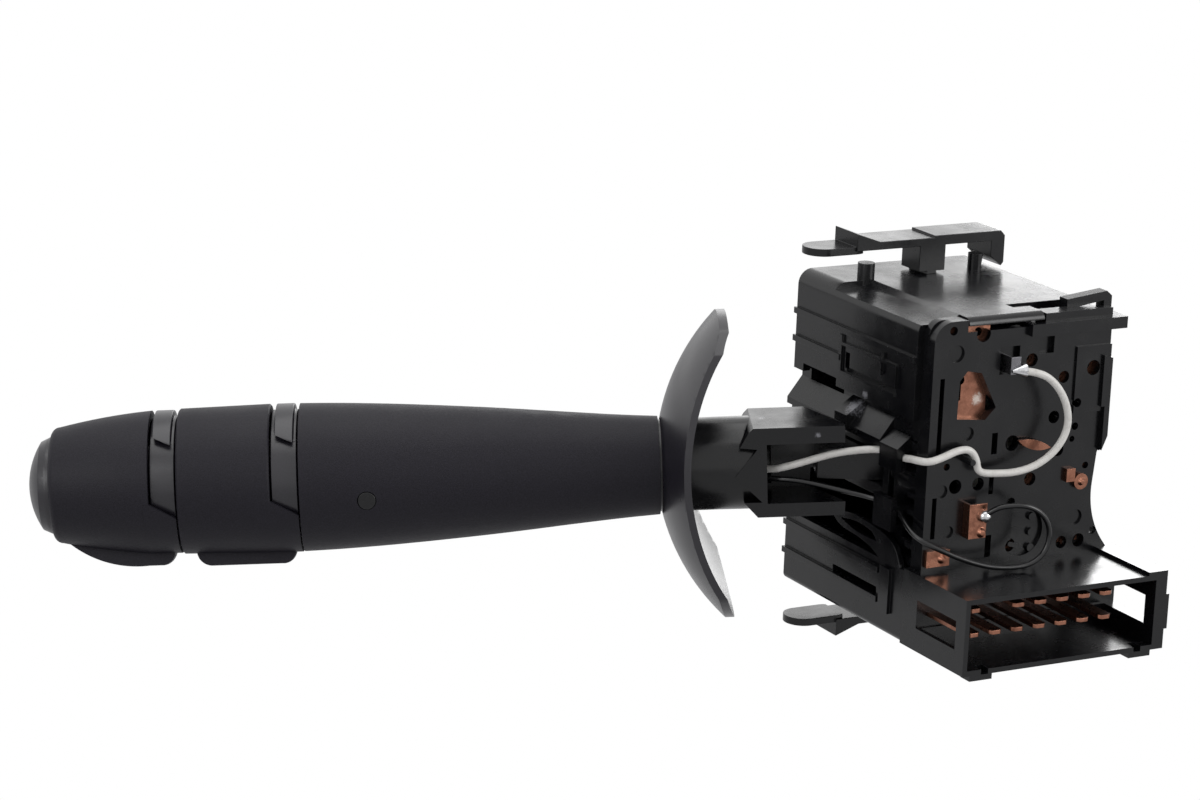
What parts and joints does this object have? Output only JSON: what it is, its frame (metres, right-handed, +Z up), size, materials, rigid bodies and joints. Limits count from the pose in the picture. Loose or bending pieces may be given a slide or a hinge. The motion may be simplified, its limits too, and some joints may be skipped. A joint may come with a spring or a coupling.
{
  "type": "combination stalk switch",
  "caption": "Steering column stalk switch: a housing with a wired contact plate and plug socket, and a lever with turning collars and an end button.",
  "frame": {"origin": "centre line of the lever's pivot, on the housing's inner end face that seats in the column", "axes": "+X out of the inner end face into the column, +Y from the contact plate to the back, +Z up"},
  "size_m": [0.1905, 0.1216, 0.0824],
  "materials": {
    "stalk_plastic": "fine spark grain",
    "housing_plastic": "smooth moulded, half gloss",
    "inner_plastic": "smooth natural acetal",
    "steel": "drawn",
    "contact_metal": "tin plated",
    "copper": "pressed strip",
    "solder": "bright solder",
    "white_insulation": "smooth",
    "black_insulation": "smooth"
  },
  "bodies": {
    "housing": {"upper_shell": "housing_plastic", "lower_shell": "housing_plastic", "contact_carrier": "housing_plastic", "connector_blades": "contact_metal", "contact_tracks": "copper", "wire_terminals": "copper", "plate_terminals": "contact_metal", "solder_joints": "solder", "detent_block": "inner_plastic", "white_wire": "white_insulation", "black_wire": "black_insulation"},
    "upper_latch": {"upper_latch": "housing_plastic"},
    "lower_latch": {"lower_latch": "housing_plastic"},
    "rocker": {"rocker": "inner_plastic", "pivot_pin": "steel", "turn_spring": "steel"},
    "turn_plunger": {"turn_plunger": "inner_plastic"},
    "contact_slider": {"contact_slider": "inner_plastic"},
    "lever": {"lever_tube": "housing_plastic", "shroud": "stalk_plastic", "stem": "stalk_plastic", "stem_plug": "stalk_plastic", "inner_sleeve": "stalk_plastic", "core_tube": "steel", "inner_index_ring": "stalk_plastic", "outer_index_ring": "stalk_plastic", "horn_contacts": "inner_plastic", "horn_spring": "steel", "dip_spring": "steel", "white_lead": "white_insulation", "black_lead": "black_insulation"},
    "dip_plunger": {"dip_plunger": "inner_plastic"},
    "light_collar": {"light_collar": "stalk_plastic", "light_drive_tube": "stalk_plastic"},
    "fog_collar": {"fog_collar": "stalk_plastic", "fog_drive_tube": "stalk_plastic"},
    "horn_button": {"horn_button": "stalk_plastic"}
  },
  "joints": [
    {"name": "turn_signal", "type": "hinge", "parent": "housing", "child": "rocker", "pos_m": [-0.0356, 0, 0], "axis": [0, 1, 0], "range_deg": [-12, 12], "deforming": ["white_wire", "black_wire"]},
    {"name": "dip", "type": "hinge", "parent": "rocker", "child": "lever", "pos_m": [-0.0356, 0, 0], "axis": [0, 0, 1], "range_deg": [-8, 0], "stiffness_Nm_per_rad": 2, "deforming": ["white_lead", "black_lead"]},
    {"name": "turn_detent", "type": "slide", "parent": "rocker", "child": "turn_plunger", "axis": [1, 0, 0], "range_m": [-0.001, 0], "stiffness_N_per_m": 1500, "deforming": ["turn_spring"]},
    {"name": "slider_travel", "type": "slide", "parent": "housing", "child": "contact_slider", "axis": [0, 0, 1], "range_m": [-0.0042, 0.0042]},
    {"name": "dip_detent", "type": "slide", "parent": "lever", "child": "dip_plunger", "axis": [-0.8954, 0.4406, -0.0638], "range_m": [0, 0.001], "stiffness_N_per_m": 1500, "deforming": ["dip_spring"]},
    {"name": "light_turn", "type": "hinge", "parent": "lever", "child": "light_collar", "pos_m": [-0.0356, 0, 0], "axis": [-0.8954, 0.4406, -0.0638], "range_deg": [0, 50]},
    {"name": "fog_turn", "type": "hinge", "parent": "lever", "child": "fog_collar", "pos_m": [-0.0356, 0, 0], "axis": [-0.8954, 0.4406, -0.0638], "range_deg": [-25, 25]},
    {"name": "horn_press", "type": "slide", "parent": "lever", "child": "horn_button", "axis": [0.8954, -0.4406, 0.0638], "range_m": [0, 0.002], "stiffness_N_per_m": 900, "deforming": ["horn_spring"]},
    {"name": "upper_latch_press", "type": "hinge", "parent": "housing", "child": "upper_latch", "pos_m": [-0.017, 0.016, 0.033], "axis": [0, 1, 0], "range_deg": [-2.5, 0], "stiffness_Nm_per_rad": 1.5},
    {"name": "lower_latch_press", "type": "hinge", "parent": "housing", "child": "lower_latch", "pos_m": [-0.017, 0.016, -0.031], "axis": [0, 1, 0], "range_deg": [0, 2.5], "stiffness_Nm_per_rad": 1.5}
  ],
  "couplings": [
    {"joint": "slider_travel", "follows": "turn_signal", "m_per_rad": -0.01985}
  ]
}
